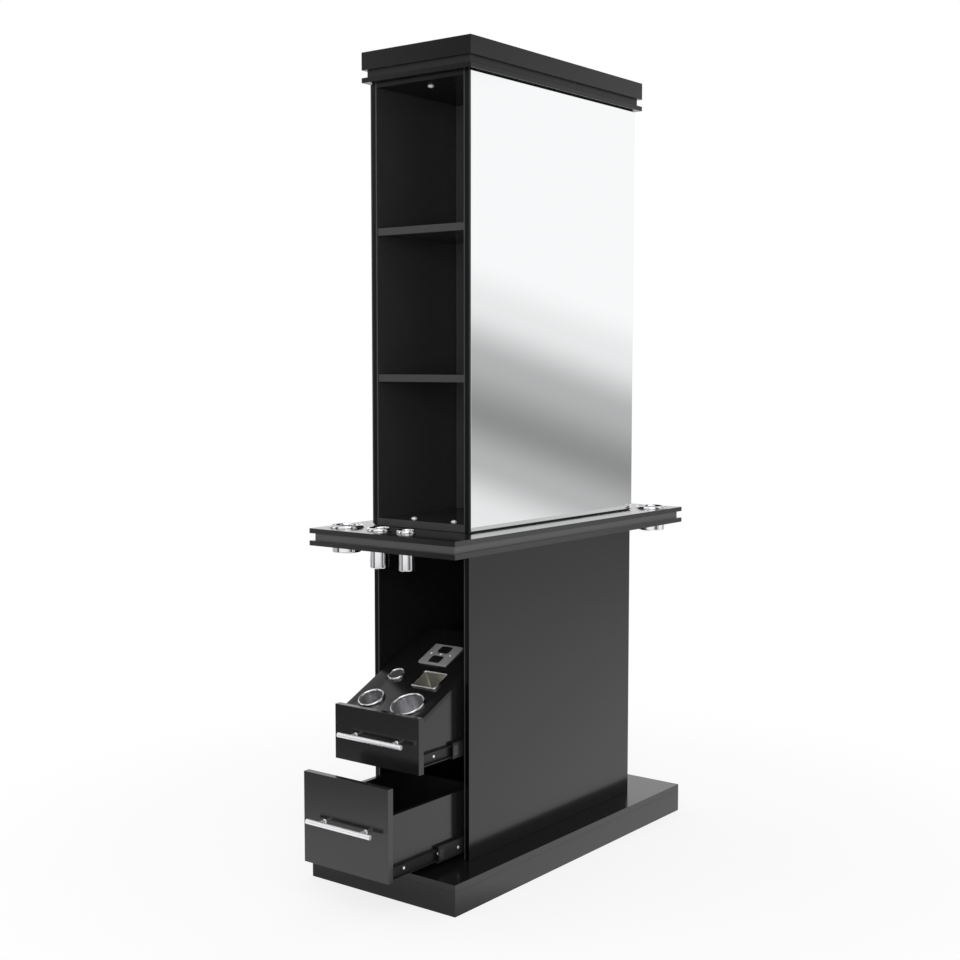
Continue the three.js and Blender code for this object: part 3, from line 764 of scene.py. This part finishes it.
def domeProfile(radius, height):
    # an ellipse's arc from the rim up to the dimple, then down into it, as shares of the radius and height
    dome = arc((0, 0), (radius, height), 0, screwHead["domeAngle"], screwHead["domePoints"])
    bottom = height * screwHead["dimpleHeight"]
    dimple = [[radius * screwHead["dimpleRadius"], bottom], [0, bottom]]
    return np.concatenate([[[0, -screwHead["sunk"]], [radius, -screwHead["sunk"]]], dome, dimple])


def addScrews(name, places, axes, size, body):
    dome = revolve(domeProfile(size["radius"], size["height"]), screwHead["steps"])
    makePiece(name, [placed(dome, place, axes) for place in places], [screwSteel], body)


# Outlet: three plate screws and the contact slots of both faces, thin inlays painted near black as the
# shade in the holes.
plateScrews = {"radius": 0.0034, "height": 0.0013, "pitch": 0.0295, "plateTop": 0.0043}
slots = {
    "faceTop": 0.0049, "pitch": 0.040, "proud": 0.00012, "sunk": 0.0003, "corner": 0.001, "cornerPoints": 5,
}
slotPlaces = [  # across, up, half width and half height
    (-0.0065, 0.002, 0.0012, 0.0042), (0.0065, 0.002, 0.0012, 0.0034), (0.0, -0.0065, 0.0022, 0.0022),
]


def addOutletDetail(end):
    origin, axes = seatOnPanel(f"{end}_outlet_plate", end)
    body = f"{end}_tool_drawer"
    across = plateScrews["pitch"] * np.array([-1.0, 0.0, 1.0])
    rows = origin + across[:, None] * axes[0] + plateScrews["plateTop"] * axes[2]
    addScrews(f"{end}_outlet_screws", rows, axes, plateScrews, body)
    grids = []
    for middle in (-slots["pitch"] / 2, slots["pitch"] / 2):
        for aside, up, halfX, halfY in slotPlaces:
            center = origin + np.array([aside, middle + up, slots["faceTop"]]) @ axes
            plan, low, high = [halfX, halfY, slots["corner"]], -slots["sunk"], slots["proud"]
            rows = [[0, 0, 0, low], plan + [low], plan + [high], [0, 0, 0, high]]
            grids.append(placed(roundedFrames(rows, slots["cornerPoints"]), center, axes))
    makePiece(f"{end}_outlet_slot_shade", grids, [slotShade], body)


slotShade = makeMoulding("slotShade")
for end in ends:
    addOutletDetail(end)


# Small fixings: slide screws, rivets and clips, and the capped bolts inside the shelf bays. Rivets and clips
# stand less proud than the gap to the cabinet channel that they pass.
slideScrews = {"radius": 0.0036, "height": 0.0015, "offsets": (0.046, 0.170)}
slideRivets = {"radius": 0.0036, "height": 0.0002, "offsets": (0.074,)}
slideClips = {
    "length": 0.016, "height": 0.024, "corner": 0.003, "cornerPoints": 6,
    "ease": 0.0001, "proud": 0.0002, "inset": 0.012,
}
bayBolts = {
    "radius": 0.0075, "height": 0.0045,
    "floor": ((-0.053, 0.040), (0.072, 0.040)), "ceiling": ((-0.0135, 0.061),),
}


def clipRows():
    # a rounded plate let into the web, with its upper edge eased
    length, height, corner = slideClips["length"] / 2, slideClips["height"] / 2, slideClips["corner"]
    ease, top, foot = slideClips["ease"], slideClips["proud"], -screwHead["sunk"]
    return [
        [0, 0, 0, foot], [length, height, corner, foot], [length, height, corner, top - ease],
        [length - ease, height - ease, corner - ease, top], [0, 0, 0, top],
    ]


def addSlideFixings(end, drawer, side):
    turn, outward = ends[end], ends[end] * sides[side]
    axes = [[0, 1, 0], [0, 0, 1], [outward, 0, 0]]
    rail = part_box(f"{end}_{drawer}_drawer_slide_{side}")
    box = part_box(f"{end}_{drawer}_drawer_box")
    height = (rail[0].z + rail[1].z) / 2
    boxFront, railFront = (limits[0].y if turn > 0 else limits[1].y for limits in (box, rail))
    web = outward * (boxHalf + slideShape["metal"])
    places = [(web, boxFront + turn * offset, height) for offset in slideScrews["offsets"]]
    name = f"{end}_{drawer}_slide_screws_{side}"
    addScrews(name, places, axes, slideScrews, f"{end}_{drawer}_drawer")
    railWeb = rail[1].x if outward > 0 else rail[0].x
    places = [(railWeb, railFront + turn * offset, height) for offset in slideRivets["offsets"]]
    name = f"{end}_{drawer}_slide_rivets_{side}"
    addScrews(name, places, axes, slideRivets, f"{end}_{drawer}_rails")
    tip = np.array([railWeb, railFront + turn * slideClips["inset"], height])
    grid = placed(roundedFrames(clipRows(), slideClips["cornerPoints"]), tip, axes)
    name = f"{end}_{drawer}_slide_clip_{side}"
    makePiece(name, [grid], [clipSteel], f"{end}_{drawer}_rails")


def addBayBolts(end):
    turn = ends[end]
    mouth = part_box("upper_bottom_board")[0].y
    floorTop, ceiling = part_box("upper_bottom_board")[1].z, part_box("upper_top_board")[0].z
    for label, height, up in (("floor", floorTop, 1.0), ("ceiling", ceiling, -1.0)):
        places = [(turn * x, turn * (mouth + inset), height) for x, inset in bayBolts[label]]
        addScrews(f"{end}_{label}_bolts", places, np.diag([1.0, up, up]), bayBolts, "carcass")


for end in ends:
    addBayBolts(end)
    for drawer in drawers:
        for side in sides:
            addSlideFixings(end, drawer, side)
print("slides and small fixings in place")


# Studio: a pale floor, soft lamps, and air that is white behind the object.
floorDisc = {
    "radius": 6.0, "rings": 24, "steps": 96, "color": (0.86, 0.86, 0.86, 1.0), "shine": 0.7, "specular": 0.1,
}
floorGlow = {  # the floor as shiny surfaces see it: darker outward, and toward one side
    "reach": (0.6, 6.0), "levels": (1.05, 0.6), "walls": (3.2, 4.2),
    "shadeToward": (-0.4, -0.92, 0.0), "sector": (0.3, 0.75),
}
floorShade = [  # distance from the middle on that side, and level
    (0.0, 0.35), (0.55, 0.40), (0.85, 1.0), (1.05, 1.0), (1.46, 0.55), (1.84, 0.28), (2.4, 0.2), (3.0, 0.2),
]
floorSeen = {"reach": (0.7, 1.8), "levels": (0.78, 1.0)}  # share of white where the eye sees the floor
studioAir = {
    "tilt": (-0.28, 0.217, 0.935), "eyeward": (0.6, -0.8, 0.0), "aside": (0.8, 0.6, 0.0),
    "fill": 0.62, "glassLift": 0.35,
    "roofToward": (0.61, 0.79, 0.0), "roofSector": (0.7, 0.88), "roofLift": (0.18, 0.27), "roof": 0.3,
}
airStops = [  # height over a tilted horizon, and level
    (-0.13, 0.97), (-0.092, 0.84), (-0.06, 0.48), (-0.03, 0.29),
    (0.005, 0.47), (0.04, 0.86), (0.07, 1.0), (0.2, 1.0),
]
airStreaks = [  # bearing from the eye in degrees, and level
    (-180, 1.0), (-160, 1.0), (-146, 0.7), (-137, 0.9), (-128, 0.6), (-119, 0.3), (-109, 0.3), (-101, 1.0),
    (-81, 1.0), (-76, 0.25), (-72, 0.1), (-60, 0.1), (-54, 0.9), (-48, 1.0), (4, 1.0), (16, 0.8), (28, 0.5),
    (34, 0.1), (45, 0.1), (50, 0.4), (64, 0.65), (75, 1.0), (138, 1.0), (142, 0.12), (154, 0.12), (158, 1.0),
    (180, 1.0),
]
lamps = {
    "eyeLamp": {"place": (2.73, -3.70, 1.60), "size": (1.2, 2.0), "watts": 110, "mirrored": False},
    "keyLamp": {"place": (2.6, -2.4, 4.2), "size": (3.0, 3.0), "watts": 45, "mirrored": True},
    "sideLamp": {"place": (-3.6, -1.0, 3.0), "size": (3.0, 3.0), "watts": 30, "mirrored": False},
    "rearLamp": {"place": (-0.6, 4.0, 3.6), "size": (3.0, 3.0), "watts": 45, "mirrored": False},
}
lampAim = (0.0, 0.0, 0.95)


# Shares of rays from the eye and from shiny surfaces, and how far the silvered glass evens out the walls.
def mirroredRays(tree, at):
    rays = newNode(tree, "ShaderNodeLightPath", at)
    glossy, passed = rays.outputs["Is Glossy Ray"], rays.outputs["Is Transmission Ray"]
    shiny = mathNode(tree, "MAXIMUM", (at[0] + 200, at[1]), glossy, passed)
    singular = rays.outputs["Is Singular Ray"]
    sharp = mathNode(tree, "MULTIPLY", (at[0] + 200, at[1] - 150), singular, studioAir["glassLift"])
    return rays.outputs["Is Camera Ray"], shiny, sharp


# How bright the studio is in a direction: tall white walls with dark gaps.
def makeWallGroup():
    tree, given, result = newGroup(
        "studioWalls", [("Heading", "NodeSocketVector", (0.0, 0.0, 0.0))], [("Level", "NodeSocketFloat")])
    heading = given["Heading"]
    ahead = vectorNode(tree, "DOT_PRODUCT", (-700, 200), heading, studioAir["eyeward"])
    aside = vectorNode(tree, "DOT_PRODUCT", (-700, 0), heading, studioAir["aside"])
    bearing = mathNode(tree, "DEGREES", (-300, 100), mathNode(tree, "ARCTAN2", (-500, 100), aside, ahead))
    wire(tree, rampNode(tree, (100, 100), bearing, airStreaks), result["Level"])
    return tree


studioWalls = makeWallGroup()


def wallLevel(tree, at, heading):
    walls = useGroup(tree, studioWalls, at)
    wire(tree, heading, walls.inputs["Heading"])
    return walls.outputs["Level"]


def makeFloorPaint():
    material, tree, shader = newMaterial("paleFloor")
    shader.inputs["Base Color"].default_value = floorDisc["color"]
    shader.inputs["Roughness"].default_value = floorDisc["shine"]
    shader.inputs["Specular IOR Level"].default_value = floorDisc["specular"]
    place = newNode(tree, "ShaderNodeTexCoord", (-1300, -300)).outputs["Object"]
    reach = vectorNode(tree, "LENGTH", (-1100, -300), place)
    seen, shiny, sharp = mirroredRays(tree, (-1100, -600))
    white = rangeNode(tree, (-700, -100), reach, floorSeen["reach"], floorSeen["levels"], smooth=True)
    seenShare = mathNode(tree, "MULTIPLY", (-500, -100), white, seen)
    heading = vectorNode(tree, "NORMALIZE", (-1100, -900), place)
    toward = vectorNode(tree, "DOT_PRODUCT", (-900, -900), heading, floorGlow["shadeToward"])
    sector = rangeNode(tree, (-700, -900), toward, floorGlow["sector"], smooth=True)
    near = mixValues(tree, (-400, -700), sector, 1.0, rampNode(tree, (-700, -700), reach, floorShade))
    outer = rangeNode(tree, (-700, -1100), reach, floorGlow["walls"], smooth=True)
    walled = mixValues(tree, (-300, -900), outer, near, wallLevel(tree, (-700, -1300), heading))
    shaded = mixValues(tree, (-300, -700), sharp, walled, 1.0)
    fading = rangeNode(tree, (-700, -500), reach, floorGlow["reach"], floorGlow["levels"])
    paper = newNode(tree, "ShaderNodeEmission", (-100, -200))
    glow = newNode(tree, "ShaderNodeEmission", (-100, -500))
    wire(tree, mathNode(tree, "MULTIPLY", (-200, -500), fading, shaded), glow.inputs["Color"])
    plain = newNode(tree, "ShaderNodeMixShader", (150, 0))
    final = newNode(tree, "ShaderNodeMixShader", (350, 0))
    for mixer, share, first, second in ((plain, seenShare, shader, paper), (final, shiny, plain, glow)):
        wire(tree, share, mixer.inputs[0])
        wire(tree, first.outputs[0], mixer.inputs[1])
        wire(tree, second.outputs[0], mixer.inputs[2])
    wire(tree, final.outputs[0], tree.nodes["Material Output"].inputs["Surface"])
    return material


def addFloor():
    # rings whose radius grows with the square of their number
    radius = floorDisc["radius"] * np.linspace(0, 1, floorDisc["rings"]) ** 2
    disc = revolve(np.stack([radius, np.zeros_like(radius)], -1), floorDisc["steps"])
    mesh = bpy.data.meshes.new("studioFloor")
    mesh.from_pydata(disc.reshape(-1, 3).tolist(), [], gridFaces(*disc.shape[:2], True).tolist())
    mesh.materials.append(makeFloorPaint())
    floor = bpy.data.objects.new("studioFloor", mesh)
    bpy.context.scene.collection.objects.link(floor)


def addAir():
    world = bpy.data.worlds.new("studioAir")
    bpy.context.scene.world = world
    world.use_nodes = True
    tree = world.node_tree
    heading = newNode(tree, "ShaderNodeTexCoord", (-1300, 0)).outputs["Generated"]
    lift = vectorNode(tree, "DOT_PRODUCT", (-1100, 100), heading, studioAir["tilt"])
    band = rampNode(tree, (-700, 100), lift, airStops)
    seen, shiny, sharp = mirroredRays(tree, (-1100, -500))
    walled = mixValues(tree, (-500, 200), sharp, wallLevel(tree, (-700, 300), heading), 1.0)
    shaded = mathNode(tree, "MULTIPLY", (-400, 0), band, walled)
    roofward = vectorNode(tree, "DOT_PRODUCT", (-1100, -800), heading, studioAir["roofToward"])
    upward = vectorNode(tree, "DOT_PRODUCT", (-1100, -1000), heading, (0.0, 0.0, 1.0))
    roofSide = rangeNode(tree, (-700, -800), roofward, studioAir["roofSector"], smooth=True)
    roofHigh = rangeNode(tree, (-700, -1000), upward, studioAir["roofLift"], smooth=True)
    roofed = mathNode(tree, "MULTIPLY", (-500, -900), roofSide, roofHigh)
    roof = mixValues(tree, (-400, -700), roofed, 1.0, studioAir["roof"])
    mirrored = mathNode(tree, "MULTIPLY", (-300, -300), shaded, roof)
    level = mixValues(tree, (-200, -100), shiny, studioAir["fill"], mirrored)
    wire(tree, mixValues(tree, (0, -100), seen, level, 1.0), tree.nodes["Background"].inputs["Color"])


def addLamp(name, lamp):
    light = bpy.data.lights.new(name, "AREA")
    light.shape = "RECTANGLE"
    light.size, light.size_y = lamp["size"]
    light.energy = lamp["watts"]
    holder = bpy.data.objects.new(name, light)
    holder.location = lamp["place"]
    aim = np.array(lampAim) - np.array(lamp["place"])
    tilt = math.atan2(math.hypot(aim[0], aim[1]), -aim[2])
    holder.rotation_euler = (tilt, 0, math.atan2(aim[1], aim[0]) - math.pi / 2)
    holder.visible_camera = False
    holder.visible_glossy = lamp["mirrored"]
    bpy.context.scene.collection.objects.link(holder)


addFloor()
addAir()
for name, lamp in lamps.items():
    addLamp(name, lamp)
print("studio lit")
